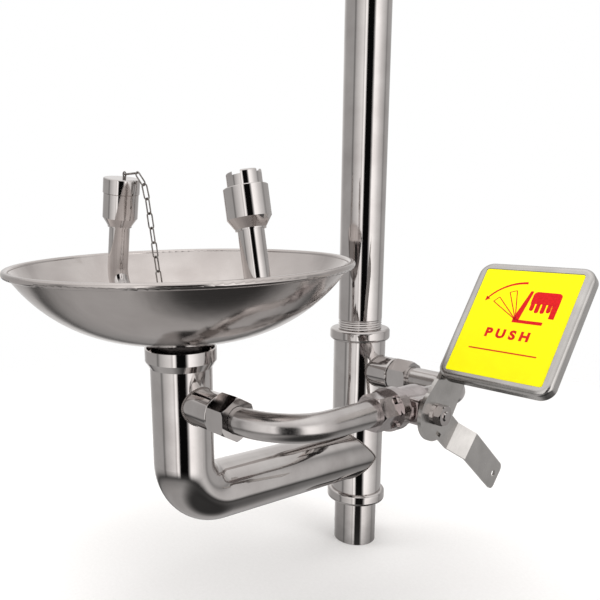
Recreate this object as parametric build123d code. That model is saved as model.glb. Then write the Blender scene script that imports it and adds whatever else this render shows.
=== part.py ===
"""Column-mounted eyewash module: bowl, two spray heads, drain, push-lever ball valve.

X is the user's right, the user stands at -Y and faces +Y, and Z is up. The origin is the centre of
the lower pipe's end, on the column's axis. All sizes are in millimetres.
"""
import os
from math import atan2, cos, degrees, pi, radians, sin, sqrt, tan
from build123d import *

os.makedirs("parts", exist_ok=True)

# ---- fits ----
FIT = 0.1            # radial gap of a screwed, brazed or pressed joint
RUN = 0.05           # radial gap of a part that turns
CLEAR = 0.3          # gap between pieces that move past each other

# ---- column ----
PIPE_R = 21.2        # 1 1/4 inch pipe
PIPE_WALL = 2.6
COLUMN_TOP = 562.0
SLEEVE_LOW = 47.0    # lower end of the sleeve
SLEEVE_LENGTH = 183.5
SLEEVE_R = PIPE_R + 4.2
SLEEVE_WALL = 2.0
COLLAR_R = SLEEVE_R + 3.8      # beaded end collars of the sleeve
COLLAR_HEIGHT = 11.5
SOCKET_DEPTH = 24.0  # threaded socket at each end of the sleeve
PIPE_INSERT = 20.0
THREAD_PITCH = 2.31
THREAD_DEPTH = 0.9
THREAD_TURNS = 4     # turns left showing above the sleeve
PARTITION_Z = 145.0  # plug between the supply half and the drain half
PARTITION_THICK = 4.0

# ---- bowl and its column ----
BOWL_Y = -226.0      # bowl axis, in front of the column
BOWL_R = 135.0
BOWL_WALL = 1.5
BOWL_DEPTH = 58.0
BOWL_FLOOR_R = 30.0
BEAD_R = 2.6         # rolled rim
RIM_Z = 314.0
BOWL_HOLE_R = 16.3
WASTE_R = 25.4       # waste tube: bowl column, elbow and arm
WASTE_WALL = 1.5
CUP_COLLAR_R = WASTE_R + 3.8  # flared cup at the top of the bowl column
CUP_TOP_Z = 245.5
CUP_DEPTH = 16.0
CUP_TAPER = 6.0
ARM_DROP = 17.0      # fall of the arm from the bowl to the column
ARM_Z = 115.0        # arm axis at the bowl axis
ELBOW_R = 36.0

# ---- supply tubing and unions ----
TUBE_R = 10.65       # 1/2 inch tube
TUBE_WALL = 1.5
UNION_THREAD_R = TUBE_R + 1.95
UNION_BOSS_R = UNION_THREAD_R + 2.6
UNION_BORE_R = TUBE_R - 2.45
BOWL_NUT_AF = 2 * UNION_THREAD_R + 5.3
COLUMN_NUT_AF = 2 * UNION_THREAD_R + 2.8
UNION_NUT_LENGTH = 19.0
NUT_GAP = 1.0        # thread left showing between a boss and its nut
UNION_THREAD_LENGTH = 9.0
WASHER_THICK = 1.5
FERRULE_LENGTH = 3.0
SUPPLY_Z = 189.5     # union on the column; the run rises evenly from here to the bowl's union
COLUMN_BOSS_END = SLEEVE_R + 17.6
BOWL_BOSS_END = WASTE_R + 23.1
BOWL_UNION_Z = 201.0
SUPPLY_BEND_R = 25.0

# ---- ball valve ----
VALVE_X = 115.0
VALVE_AT = 89.6      # ball centre, along the run from the corner below the column's union
BALL_R = 10.0
BALL_BORE_R = 6.0
SEAT_THICK = 4.5
CAVITY_R = BALL_R + 1.6
BODY_R = CAVITY_R + 3.6
SCREW_PITCH_R = CAVITY_R + 2.8
SCREW_R = 1.25
SCREW_HEAD_R = 2.5
SCREW_HEAD = 2.2
FLANGE_R = SCREW_PITCH_R + 3.0
FLANGE_THICK = 4.6
VALVE_HEX_AF = 2 * TUBE_R + 5.2
TUBE_SOCKET = 9.0
SEAM = -BALL_R - 8.2         # body joint, along the flow from the ball centre
BODY_END = BALL_R + 12.0
END_FITTING = SEAM - 25.3
STEM_R = 5.0
STEM_THREAD_R = 4.0
STEM_FLATS = 6.4
PAD_SIZE = 21.0      # square pad under the gland
PAD_SLOT = (4.0, 7.5, 3.0)
BONNET_TOP = BALL_R + 10.0
PACKING_R = 7.4
PACKING_LOW = BALL_R + 3.0
PACKING_HIGH = BALL_R + 7.0
GLAND_AF = 17.0
GLAND_THICK = 5.0

# ---- push tray ----
TRAY_W = 84.2
TRAY_H = 101.8
TRAY_DEPTH = 10.0
TRAY_WALL = 1.5
TRAY_CORNER_R = 10.0
TRAY_EDGE_R = 3.6
TRAY_FACE = 17.5     # front face, in front of the stem axis
TRAY_FOOT = 25.4     # lower edge, along the lever from the stem
LABEL_MARGIN = 6.0
LABEL_CORNER_R = 2.0
LABEL_SINK = 0.8
LABEL_THICK = 0.4
RIVET_R = 2.0

# ---- push lever ----
LEVER_TILT = 36.6    # lean of the plate, from upright
ARM_STRIP_THICK = 2.0
LEVER_THICK = 3.0
LEVER_HALF = 21.5    # radius of the plate's lower end
LEVER_NECK = 17.0    # the plate's front edge where the tray starts
LEVER_LENGTH = TRAY_FOOT + TRAY_H - 11.2
LEVER_FLANGE = TRAY_W - 38.2
WASHER_R = 8.5
LEVER_NUT_AF = 15.0
LEVER_NUT_THICK = 6.0
STEM_END = 1.2       # thread left showing above the nut
PEDAL_ANGLE = -41.5  # slope of the pull strap, below level
PEDAL_WIDTH = 24.0
PEDAL_BEND = 39.0    # distance from the stem to the start of the joggle
PEDAL_RUN = 13.0
PEDAL_STEP = 11.0
PEDAL_LENGTH = 112.0
PEDAL_HOLE_AT = 103.0
PEDAL_HOLE_R = 3.0

# ---- spray heads ----
HEAD_X = 82.4        # from the bowl axis, at HEAD_Z
HEAD_Z = 350.0
HEAD_LEAN = 10.4
NOZZLE_R = 9.1
NOZZLE_WALL = 1.2
NOZZLE_BEND_R = 28.0
HUB_PORT_Z = 273.0
CUP_R = 15.3
CUP_WALL = 1.6
CUP_BASE_Z = 340.0
CUP_HEIGHT = 29.0
CUP_NECK_R = NOZZLE_R + 1.5
CUP_CONE = 7.0
INSERT_R = CUP_R - 3.2
INSERT_RISE = 10.0
CAP_R = CUP_R + 0.6
CAP_HEIGHT = 12.5
RISER_R = 8.1
RISER_WALL = 1.2
RISER_BEND_R = 16.0
HUB_R = RISER_R + 5.9
HUB_LIFT = 6.0       # the hub stands on the riser, clear of the strainer's holes
HUB_BOSS = 22.0      # reach of the hub's side ports
PORT_DEPTH = 10.0
NECK_DEPTH = 8.0     # how far a nozzle tube goes into its cup

# ---- waste fitting and strainer ----
SEAL_R = 20.5
SEAL_THICK = 1.5
STRAINER_R = 28.0
STRAINER_THICK = 1.6
SKIRT_WALL = 1.6
STRAINER_HOLES = 12
STRAINER_HOLE_R = 2.0

# ---- chain from the left cap to the strainer ----
WIRE_R = 0.65
LINK_PITCH = 12.6
LINK_WIDTH = 6.0
EYE_R = 2.1
EYE_OFFSET = 2.5     # eye on the cap, from the cap's axis towards the chain


def turned(*outline):
    """A solid turned about Z from its (radius, height) outline."""
    line = Polyline(*[(r, 0, z) for r, z in outline], close=True)
    return revolve(make_face(line), axis=Axis.Z)


def put(part, origin, z_dir, x_dir=None):
    """Moves a part made along Z onto an axis."""
    return Plane(origin=origin, z_dir=z_dir, x_dir=x_dir).location * part


def bent_tube(points, outer, inner, bend):
    """A tube along straight runs joined by arcs."""
    corners = [Vector(*p) for p in points]
    path = FilletPolyline(*corners, radius=bend) if len(corners) > 2 else Line(*corners)
    ring = Circle(outer) - Circle(inner) if inner else Circle(outer)
    start = Plane(origin=corners[0], z_dir=corners[1] - corners[0])
    return sweep(start * ring, path=path)


def hexagon(across_flats, length, bevel=1.4):
    """A hexagon bar with bevelled corners, standing on the XY plane."""
    corner = across_flats / sqrt(3)
    bar = extrude(RegularPolygon(across_flats / 2, 6, major_radius=False), length)
    blank = Pos(0, 0, length / 2) * Cylinder(corner, length)
    return bar & chamfer(blank.edges().filter_by(GeomType.CIRCLE), bevel)


def drill(radius, low, high, x=0, y=0):
    """A cutter along Z."""
    return Pos(x, y, (low + high) / 2) * Cylinder(radius, high - low)


parts = {}

# ---- column: two pipes in a sleeve ----
sleeve_top = SLEEVE_LOW + SLEEVE_LENGTH
thread_core_r = PIPE_R - THREAD_DEPTH
socket_r = thread_core_r + FIT
pipe_bore = PIPE_R - PIPE_WALL


def column_pipe(low, high, thread_low, thread_high):
    """A pipe with the core of the thread on the end that is screwed into the sleeve."""
    pipe = drill(PIPE_R, low, high) + drill(thread_core_r, thread_low, thread_high)
    return pipe - drill(pipe_bore, min(low, thread_low) - 1, max(high, thread_high) + 1)


parts["lower_pipe"] = column_pipe(0, SLEEVE_LOW, SLEEVE_LOW, SLEEVE_LOW + PIPE_INSERT)
upper = column_pipe(sleeve_top, COLUMN_TOP, sleeve_top - PIPE_INSERT, sleeve_top)
for turn in range(THREAD_TURNS):
    groove_z = sleeve_top + (turn + 0.5) * THREAD_PITCH
    upper -= turned(
        (thread_core_r, groove_z),
        (PIPE_R + 1, groove_z - 0.8 * THREAD_PITCH / 2),
        (PIPE_R + 1, groove_z + 0.8 * THREAD_PITCH / 2),
    )
parts["upper_pipe"] = upper

sleeve = drill(SLEEVE_R, SLEEVE_LOW, sleeve_top)
for collar_low in (SLEEVE_LOW, sleeve_top - COLLAR_HEIGHT):
    collar = drill(COLLAR_R, collar_low, collar_low + COLLAR_HEIGHT)
    sleeve += fillet(collar.edges().filter_by(GeomType.CIRCLE), 3.0)
sleeve -= drill(socket_r, SLEEVE_LOW - 1, sleeve_top + 1)
sleeve -= drill(SLEEVE_R - SLEEVE_WALL, SLEEVE_LOW + SOCKET_DEPTH, sleeve_top - SOCKET_DEPTH)

arm_start = Vector(0, BOWL_Y, ARM_Z)
arm_end = Vector(0, 0, ARM_Z - ARM_DROP)
arm_dir = (arm_end - arm_start).normalized()
arm_bore = WASTE_R - WASTE_WALL
sleeve -= bent_tube([arm_start, arm_end], arm_bore, 0, 0)
sleeve -= put(drill(UNION_BORE_R, 0, COLLAR_R), (0, 0, SUPPLY_Z), (1, 0, 0))
parts["column_sleeve"] = sleeve

plug_r = SLEEVE_R - SLEEVE_WALL - FIT
parts["partition_plug"] = drill(plug_r, PARTITION_Z, PARTITION_Z + PARTITION_THICK)

# ---- waste: arm, elbow and bowl column ----
turn_angle = pi / 2 - atan2(ARM_DROP, -BOWL_Y)
elbow_leg = ELBOW_R * tan(turn_angle / 2)
elbow_top = ARM_Z + elbow_leg
elbow_out = arm_start + arm_dir * elbow_leg
elbow_centre = Vector(0, BOWL_Y + ELBOW_R, elbow_top)
elbow_mid = elbow_centre + (arm_start - elbow_centre).normalized() * ELBOW_R
elbow_path = ThreePointArc((0, BOWL_Y, elbow_top), elbow_mid, elbow_out)
waste_ring = Circle(WASTE_R) - Circle(arm_bore)
elbow_face = Plane(origin=(0, BOWL_Y, elbow_top), z_dir=(0, 0, -1)) * waste_ring
parts["drain_elbow"] = sweep(elbow_face, path=elbow_path)
arm = bent_tube([elbow_out, arm_end], WASTE_R, arm_bore, 0)
parts["drain_arm"] = arm - drill(SLEEVE_R, 0, sleeve_top)

cup_low = CUP_TOP_Z - CUP_DEPTH
column_axis = Pos(0, BOWL_Y, 0)
bowl_column = turned(
    (arm_bore, elbow_top),
    (WASTE_R, elbow_top),
    (WASTE_R, cup_low),
    (CUP_COLLAR_R, cup_low + CUP_TAPER),
    (CUP_COLLAR_R, CUP_TOP_Z),
    (CUP_COLLAR_R - WASTE_WALL, CUP_TOP_Z),
    (CUP_COLLAR_R - WASTE_WALL, cup_low + CUP_TAPER),
    (arm_bore, cup_low),
)
bowl_column = column_axis * bowl_column
bowl_column -= put(drill(RISER_R + FIT, 0, BOWL_BOSS_END), (0, BOWL_Y, BOWL_UNION_Z), (1, 0, 0))
parts["bowl_column"] = bowl_column

# ---- unions: welded socket, washer and nut, on an axis along +X ----
nut_bore_r = TUBE_R + CLEAR
ferrule_r = UNION_THREAD_R - FIT


def union(name, origin, wall_r, boss_end, wall_axis, nut_af):
    """Adds a union whose boss leaves a vertical tube wall, and returns where its tube starts."""
    face = boss_end + UNION_THREAD_LENGTH
    boss = drill(UNION_BOSS_R, 0, boss_end)
    boss = fillet(boss.edges().sort_by(Axis.Z)[-1], 1.5)
    socket = boss + drill(UNION_THREAD_R, 0, face) - drill(UNION_BORE_R, -1, face + 1)
    parts[name + "_socket"] = put(socket, origin, (1, 0, 0)) - wall_axis * drill(wall_r, 0, COLUMN_TOP)
    seat = face + WASHER_THICK
    washer = drill(ferrule_r, face, seat) - drill(UNION_BORE_R, face - 1, seat + 1)
    parts[name + "_washer"] = put(washer, origin, (1, 0, 0))
    nut_low = boss_end + NUT_GAP
    lip = seat + FERRULE_LENGTH + CLEAR
    nut = Pos(0, 0, nut_low) * hexagon(nut_af, UNION_NUT_LENGTH)
    nut -= drill(UNION_THREAD_R + FIT, nut_low - 1, lip)
    nut -= drill(nut_bore_r, lip - 1, nut_low + UNION_NUT_LENGTH + 1)
    parts[name + "_nut"] = put(nut, origin, (1, 0, 0))
    return seat


column_seat = union("column_union", (0, 0, SUPPLY_Z), SLEEVE_R, COLUMN_BOSS_END, Pos(0, 0, 0), COLUMN_NUT_AF)
bowl_seat = union("bowl_union", (0, BOWL_Y, BOWL_UNION_Z), WASTE_R, BOWL_BOSS_END, column_axis, BOWL_NUT_AF)


def supply_tube(points, bend, ferrule_at, ferrule_dir):
    """A tube with the ferrule that its union nut pulls on."""
    tube = bent_tube(points, TUBE_R, TUBE_R - TUBE_WALL, bend)
    ferrule = drill(ferrule_r, 0, FERRULE_LENGTH) - drill(TUBE_R - TUBE_WALL, -1, FERRULE_LENGTH + 1)
    return tube + put(ferrule, ferrule_at, ferrule_dir)


corner = Vector(VALVE_X, 0, SUPPLY_Z)
arc_corner = Vector(VALVE_X, BOWL_Y, BOWL_UNION_Z)
flow = (arc_corner - corner).normalized()
valve_centre = corner + flow * VALVE_AT
bend_start = Vector(column_seat, 0, SUPPLY_Z)
bend_end = valve_centre - flow * (BODY_END - TUBE_SOCKET)
parts["supply_bend_tube"] = supply_tube([bend_start, corner, bend_end], SUPPLY_BEND_R, bend_start, (1, 0, 0))
arc_start = Vector(bowl_seat, BOWL_Y, BOWL_UNION_Z)
arc_end = valve_centre - flow * (END_FITTING + TUBE_SOCKET)
arc_bend = VALVE_X - (BOWL_BOSS_END + NUT_GAP + UNION_NUT_LENGTH) - 1.0
parts["supply_arc_tube"] = supply_tube([arc_start, arc_corner, arc_end], arc_bend, arc_start, (1, 0, 0))

# ---- ball valve: local X is against the flow, local Z is the stem (+X) ----
valve_plane = Plane(origin=valve_centre, x_dir=-flow, z_dir=(1, 0, 0))
tube_socket_r = TUBE_R + FIT
port_r = TUBE_R - TUBE_WALL


def along_flow(part):
    return Rot(0, 90, 0) * part


seat_end = BALL_R + 1.0
body = along_flow(drill(BODY_R, SEAM, BODY_END - 6))
body += along_flow(drill(FLANGE_R, SEAM, SEAM + FLANGE_THICK))
body += along_flow(Pos(0, 0, BODY_END - 12) * hexagon(VALVE_HEX_AF, 12))
body += Pos(0, 0, BONNET_TOP / 2) * fillet(Box(PAD_SIZE, PAD_SIZE, BONNET_TOP).edges().filter_by(Axis.Z), 3.0)
body -= Pos(-PAD_SIZE / 2, 0, BONNET_TOP - 3.0) * Box(PAD_SLOT[2], PAD_SLOT[1], PAD_SLOT[0])
body -= along_flow(drill(CAVITY_R, SEAM - 1, seat_end))
body -= along_flow(drill(port_r, 0, BODY_END + 1))
body -= along_flow(drill(tube_socket_r, BODY_END - TUBE_SOCKET, BODY_END + 1))
body -= drill(STEM_R + RUN, 0, BONNET_TOP + 1)
body -= drill(PACKING_R + FIT, PACKING_LOW, BONNET_TOP + 1)

end_fitting = along_flow(Pos(0, 0, END_FITTING) * hexagon(VALVE_HEX_AF, SEAM - FLANGE_THICK - END_FITTING))
end_fitting += along_flow(drill(FLANGE_R, SEAM - FLANGE_THICK, SEAM))
end_fitting += along_flow(drill(CAVITY_R - FIT, SEAM, -seat_end))
end_fitting -= along_flow(drill(port_r, END_FITTING - 1, 0))
end_fitting -= along_flow(drill(tube_socket_r, END_FITTING - 1, END_FITTING + TUBE_SOCKET))

screws = []
for quarter in range(4):
    angle = radians(45 + 90 * quarter)
    screw_y = SCREW_PITCH_R * cos(angle)
    screw_z = SCREW_PITCH_R * sin(angle)
    shank_hole = drill(SCREW_R + FIT, SEAM - FLANGE_THICK - 1, SEAM + FLANGE_THICK + 1)
    shank = Pos(0, screw_y, screw_z) * along_flow(shank_hole)
    spot_face = drill(SCREW_HEAD_R + CLEAR, SEAM - FLANGE_THICK - 2 * SCREW_HEAD, SEAM - FLANGE_THICK)
    body -= shank
    end_fitting -= shank + Pos(0, screw_y, screw_z) * along_flow(spot_face)
    screw = drill(SCREW_R, SEAM - FLANGE_THICK, SEAM + FLANGE_THICK - 0.5)
    head = drill(SCREW_HEAD_R, SEAM - FLANGE_THICK - SCREW_HEAD, SEAM - FLANGE_THICK)
    screws.append(Pos(0, screw_y, screw_z) * along_flow(screw + head))
parts["valve_body"] = valve_plane.location * body
parts["valve_end_fitting"] = valve_plane.location * end_fitting
parts["valve_flange_screws"] = valve_plane.location * Compound(children=screws)

stem_slot = 2 * STEM_R - 5.0
slot_floor = BALL_R - 4.0
ball = Sphere(BALL_R) - Rot(90, 0, 0) * drill(BALL_BORE_R, -BALL_R, BALL_R)
ball -= Pos(0, 0, BALL_R) * Box(2 * BALL_R, stem_slot, 2 * (BALL_R - slot_floor))
parts["valve_ball"] = valve_plane.location * ball

seat_face = Pos((BALL_BORE_R + CAVITY_R - FIT) / 2, seat_end - SEAT_THICK / 2) * Rectangle(
    CAVITY_R - FIT - BALL_BORE_R, SEAT_THICK
)
seat = along_flow(revolve(Plane.XZ * (seat_face - Circle(BALL_R + RUN)), axis=Axis.Z))
parts["valve_seat_rings"] = valve_plane.location * Compound(children=[seat, Rot(0, 0, 180) * seat])

strip_low = BONNET_TOP + GLAND_THICK + CLEAR
plate_low = strip_low + ARM_STRIP_THICK
washer_low = plate_low + LEVER_THICK
nut_low = washer_low + WASHER_THICK
nut_high = nut_low + LEVER_NUT_THICK
stem_tip = nut_high + STEM_END
flats = Box(4 * STEM_R, STEM_FLATS, 2 * nut_high)
stem = drill(STEM_R, BALL_R + 0.2, strip_low)
stem += Pos(0, 0, (slot_floor + BALL_R + 1) / 2 + FIT) * Box(
    2 * STEM_R - 2, stem_slot - 2 * FIT, BALL_R + 1 - slot_floor
)
stem += drill(STEM_THREAD_R, strip_low, stem_tip) & (
    flats + drill(STEM_THREAD_R, washer_low, stem_tip)
)
stem = chamfer(stem.edges().sort_by(Axis.Z)[-1], 0.8)
parts["valve_stem"] = valve_plane.location * stem

running_r = STEM_R + RUN
packing = drill(PACKING_R, PACKING_LOW + FIT, PACKING_HIGH) - drill(running_r, 0, BONNET_TOP)
parts["valve_packing"] = valve_plane.location * packing
gland = Pos(0, 0, BONNET_TOP) * hexagon(GLAND_AF, GLAND_THICK, 1.0)
gland += drill(PACKING_R, PACKING_HIGH, BONNET_TOP)
gland -= drill(running_r, 0, strip_low)
parts["valve_gland_nut"] = valve_plane.location * gland

# ---- push lever: local X runs up the lever, local Y faces the user, local Z is +X ----
lean = radians(LEVER_TILT)
up_lever = Vector(0, sin(lean), cos(lean))
lever_plane = Plane(origin=valve_centre, x_dir=up_lever, z_dir=(1, 0, 0))
flat_hole = drill(STEM_THREAD_R + FIT, 0, stem_tip) & Box(4 * STEM_R, STEM_FLATS + 2 * FIT, 3 * stem_tip)
stem_hole = valve_plane.location * flat_hole

tray_back = TRAY_FACE - LABEL_SINK - TRAY_WALL
shoulder = TRAY_FOOT - 3.0
plate_line = Polyline(
    (0, -LEVER_HALF),
    (LEVER_LENGTH, -LEVER_NECK),
    (LEVER_LENGTH, tray_back),
    (shoulder, tray_back),
    (shoulder, LEVER_NECK),
    (0, LEVER_HALF),
    close=True,
)
plate_sketch = Circle(LEVER_HALF) + make_face(plate_line)
plate_sketch = fillet(plate_sketch.vertices().group_by(Axis.X)[-1].sort_by(Axis.Y)[0], 14.0)
lever = Pos(0, 0, plate_low) * extrude(plate_sketch, LEVER_THICK)
flange_low = TRAY_FOOT + 12.0
flange_high = LEVER_LENGTH - 12.0
lever += Pos((flange_low + flange_high) / 2, tray_back - LEVER_THICK / 2, plate_low + LEVER_FLANGE / 2) * Box(
    flange_high - flange_low, LEVER_THICK, LEVER_FLANGE
)
slot_at = Pos(LEVER_HALF * -0.55, LEVER_HALF * -0.6)
lever -= Pos(0, 0, plate_low + LEVER_THICK / 2) * slot_at * Box(3.0, 7.0, 2 * LEVER_THICK)

lever_body = lever_plane.location * lever - stem_hole
washer = drill(WASHER_R, washer_low, nut_low) - drill(STEM_THREAD_R + FIT, 0, stem_tip)
parts["lever_washer"] = lever_plane.location * washer
nut = Pos(0, 0, nut_low) * hexagon(LEVER_NUT_AF, LEVER_NUT_THICK, 1.0)
parts["lever_nut"] = lever_plane.location * (nut - drill(STEM_THREAD_R + FIT, 0, stem_tip))

# ---- pull strap: a joggled strip behind the lever plate, with a hole for a treadle chain ----
slope = radians(PEDAL_ANGLE)
pedal_plane = Plane(origin=valve_centre, x_dir=(0, cos(slope), sin(slope)), z_dir=(1, 0, 0))
step_at = PEDAL_BEND + PEDAL_RUN
strip_line = Polyline(
    (-PEDAL_WIDTH / 2, strip_low),
    (PEDAL_BEND, strip_low),
    (step_at, strip_low + PEDAL_STEP),
    (PEDAL_LENGTH, strip_low + PEDAL_STEP),
    (PEDAL_LENGTH, strip_low + PEDAL_STEP + ARM_STRIP_THICK),
    (step_at - 0.8, strip_low + PEDAL_STEP + ARM_STRIP_THICK),
    (PEDAL_BEND - 0.8, strip_low + ARM_STRIP_THICK),
    (-PEDAL_WIDTH / 2, strip_low + ARM_STRIP_THICK),
    close=True,
)
strip = extrude(Plane.XZ * make_face(strip_line), PEDAL_WIDTH / 2, both=True)
outline = Pos((PEDAL_LENGTH - PEDAL_WIDTH / 2) / 2, 0) * RectangleRounded(
    PEDAL_LENGTH + PEDAL_WIDTH / 2, PEDAL_WIDTH, 5.0
)
strip &= extrude(outline, 2 * stem_tip)
strip -= drill(PEDAL_HOLE_R, 0, 2 * stem_tip, x=PEDAL_HOLE_AT)
parts["pedal_arm"] = pedal_plane.location * strip - stem_hole

# ---- push tray and label ----
face_out = Vector(0, -cos(lean), sin(lean))
tray_centre = valve_centre + up_lever * (TRAY_FOOT + TRAY_H / 2) + face_out * TRAY_FACE
tray_left = VALVE_X + plate_low - TRAY_WALL - CLEAR
tray_centre = Vector(tray_left + TRAY_W / 2, tray_centre.Y, tray_centre.Z)
tray_plane = Plane(origin=tray_centre, x_dir=(1, 0, 0), z_dir=face_out)
tray_outline = RectangleRounded(TRAY_W, TRAY_H, TRAY_CORNER_R)
shell = Pos(0, 0, -TRAY_DEPTH / 2) * extrude(tray_outline, TRAY_DEPTH / 2, both=True)
shell = fillet(shell.faces().sort_by(Axis.Z)[-1].edges(), TRAY_EDGE_R)
pocket_floor = -(LABEL_SINK + TRAY_WALL)
pocket = RectangleRounded(TRAY_W - 2 * TRAY_WALL, TRAY_H - 2 * TRAY_WALL, TRAY_CORNER_R - TRAY_WALL)
shell -= Pos(0, 0, -TRAY_DEPTH - 1) * extrude(pocket, TRAY_DEPTH + 1 + pocket_floor)
label_sketch = RectangleRounded(TRAY_W - 2 * LABEL_MARGIN, TRAY_H - 2 * LABEL_MARGIN, LABEL_CORNER_R)
shell -= Pos(0, 0, -LABEL_SINK) * extrude(label_sketch, 2 * LABEL_SINK)
tray = tray_plane.location * shell
notch_len = TRAY_FOOT + TRAY_CORNER_R
notch = Pos(notch_len / 2, 0, plate_low + LEVER_THICK / 2) * Box(
    notch_len, 2 * tray_back, LEVER_THICK + 2 * CLEAR
)
tray -= lever_plane.location * notch
label = Pos(0, 0, -LABEL_SINK) * extrude(offset(label_sketch, -CLEAR), LABEL_THICK)

rivets = []
flange_mid_x = VALVE_X + plate_low + LEVER_FLANGE / 2 - tray_centre.X
for row in (flange_low + 12, flange_high - 12):
    for column in (-12, 12):
        rivet_x = flange_mid_x + column
        rivet_y = row - TRAY_FOOT - TRAY_H / 2
        back = pocket_floor - LEVER_THICK
        rivet = drill(RIVET_R, back, -LABEL_SINK, rivet_x, rivet_y)
        rivet += drill(2 * RIVET_R, back - 1.5, back, rivet_x, rivet_y)
        rivets.append(tray_plane.location * rivet)
        hole = tray_plane.location * drill(RIVET_R + FIT, back - 1, 1, rivet_x, rivet_y)
        tray -= hole
        lever_body -= hole
parts["lever_plate"] = lever_body
parts["push_tray"] = tray
parts["push_label"] = tray_plane.location * label
parts["tray_rivets"] = Compound(children=rivets)

# ---- bowl: flat floor, one arc up to a rolled rim ----
floor_z = RIM_Z - BOWL_DEPTH
wall_r = BOWL_R - 2 * BEAD_R
rise = BOWL_DEPTH - BEAD_R
run = wall_r - BOWL_FLOOR_R
dish_r = (run**2 + rise**2) / (2 * rise)
sweep_angle = degrees(atan2(run, dish_r - rise))


def dish_arc(radius):
    half = radians(sweep_angle / 2)
    full = radians(sweep_angle)
    centre_z = floor_z + dish_r
    return ThreePointArc(
        (BOWL_FLOOR_R, 0, centre_z - radius),
        (BOWL_FLOOR_R + radius * sin(half), 0, centre_z - radius * cos(half)),
        (BOWL_FLOOR_R + radius * sin(full), 0, centre_z - radius * cos(full)),
    )


inner_arc = dish_arc(dish_r)
outer_arc = dish_arc(dish_r + BOWL_WALL)
hole_side = Line((BOWL_HOLE_R, 0, floor_z), (BOWL_HOLE_R, 0, floor_z - BOWL_WALL))
dish_face = make_face(
    [
        inner_arc,
        outer_arc,
        Line(inner_arc @ 1, outer_arc @ 1),
        Line((BOWL_HOLE_R, 0, floor_z), inner_arc @ 0),
        Line((BOWL_HOLE_R, 0, floor_z - BOWL_WALL), outer_arc @ 0),
        hole_side,
    ]
)
bead = Pos(BOWL_R - BEAD_R, 0, RIM_Z - BEAD_R) * Rot(90, 0, 0) * Circle(BEAD_R)
parts["bowl"] = column_axis * (revolve(dish_face, axis=Axis.Z) + revolve(bead, axis=Axis.Z))

# ---- waste fitting under the bowl ----
under_bowl = floor_z - BOWL_WALL
nut_top = under_bowl - SEAL_THICK
nut_bottom = cup_low + CUP_TAPER + 3.0
spigot_low = cup_low - 8.0
thread_r = BOWL_HOLE_R - 0.3
adapter_bore = thread_r + FIT
hex_af = 2 * (CUP_COLLAR_R - WASTE_WALL - 4.0) * sqrt(3) / 2
adapter = Pos(0, 0, nut_bottom) * hexagon(hex_af, nut_top - nut_bottom, 3.4)
adapter += drill(arm_bore - FIT, spigot_low, nut_bottom + 1)
adapter -= drill(adapter_bore, spigot_low - 1, nut_top + 1)
parts["drain_adapter"] = column_axis * adapter
seal = drill(SEAL_R, nut_top, under_bowl) - drill(adapter_bore, nut_top - 1, under_bowl + 1)
parts["bowl_seal"] = column_axis * seal

strainer_top = floor_z + STRAINER_THICK
strainer = drill(STRAINER_R, floor_z, strainer_top)
strainer += drill(thread_r, spigot_low + 4, floor_z) - drill(thread_r - SKIRT_WALL, 0, floor_z)
strainer -= drill(RISER_R + FIT, 0, strainer_top + 1)
hole_ring = (RISER_R + FIT + thread_r - SKIRT_WALL) / 2
for index in range(STRAINER_HOLES):
    angle = 2 * pi * index / STRAINER_HOLES
    strainer -= drill(STRAINER_HOLE_R, 0, strainer_top + 1, hole_ring * cos(angle), hole_ring * sin(angle))
parts["drain_strainer"] = column_axis * strainer

# ---- riser and nozzle hub ----
riser_points = [
    (BOWL_BOSS_END - 4, BOWL_Y, BOWL_UNION_Z),
    (0, BOWL_Y, BOWL_UNION_Z),
    (0, BOWL_Y, HUB_PORT_Z - 6),
]
parts["riser_pipe"] = bent_tube(riser_points, RISER_R, RISER_R - RISER_WALL, RISER_BEND_R)

hub_low = strainer_top + HUB_LIFT
hub_high = HUB_PORT_Z + HUB_R - 2
hub = fillet(drill(HUB_R, hub_low, hub_high).edges().sort_by(Axis.Z)[-1], 5.0)
for direction in (-1, 1):
    boss = drill(NOZZLE_R + 2.4, 0, HUB_BOSS)
    hub += put(fillet(boss.edges().sort_by(Axis.Z)[-1], 1.2), (0, 0, HUB_PORT_Z), (direction, 0, 0))
for direction in (-1, 1):
    port = drill(NOZZLE_R + FIT, HUB_BOSS - PORT_DEPTH, HUB_BOSS + 1)
    port += drill(NOZZLE_R - NOZZLE_WALL, 0, HUB_BOSS)
    hub -= put(port, (0, 0, HUB_PORT_Z), (direction, 0, 0))
hub -= drill(RISER_R + FIT, strainer_top, HUB_PORT_Z)
parts["nozzle_hub"] = column_axis * hub

# ---- spray heads ----
head_lean = radians(HEAD_LEAN)


def head_x(z):
    """Distance of a head's axis from the bowl axis, at a height."""
    return HEAD_X + (HEAD_Z - z) * tan(head_lean)


cup_bore = CUP_R - CUP_WALL
cup_outline = [
    (NOZZLE_R + FIT, 0),
    (CUP_NECK_R, 0),
    (CUP_NECK_R, 1.0),
    (CUP_R, 1.0 + CUP_CONE),
    (CUP_R, CUP_HEIGHT - 0.6),
    (CUP_R - 0.6, CUP_HEIGHT),
    (cup_bore, CUP_HEIGHT),
    (cup_bore, NECK_DEPTH + 2.5),
    (NOZZLE_R - NOZZLE_WALL, NECK_DEPTH + 1.0),
    (NOZZLE_R - NOZZLE_WALL, NECK_DEPTH),
    (NOZZLE_R + FIT, NECK_DEPTH),
]
spray_cup = turned(*cup_outline)

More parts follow.
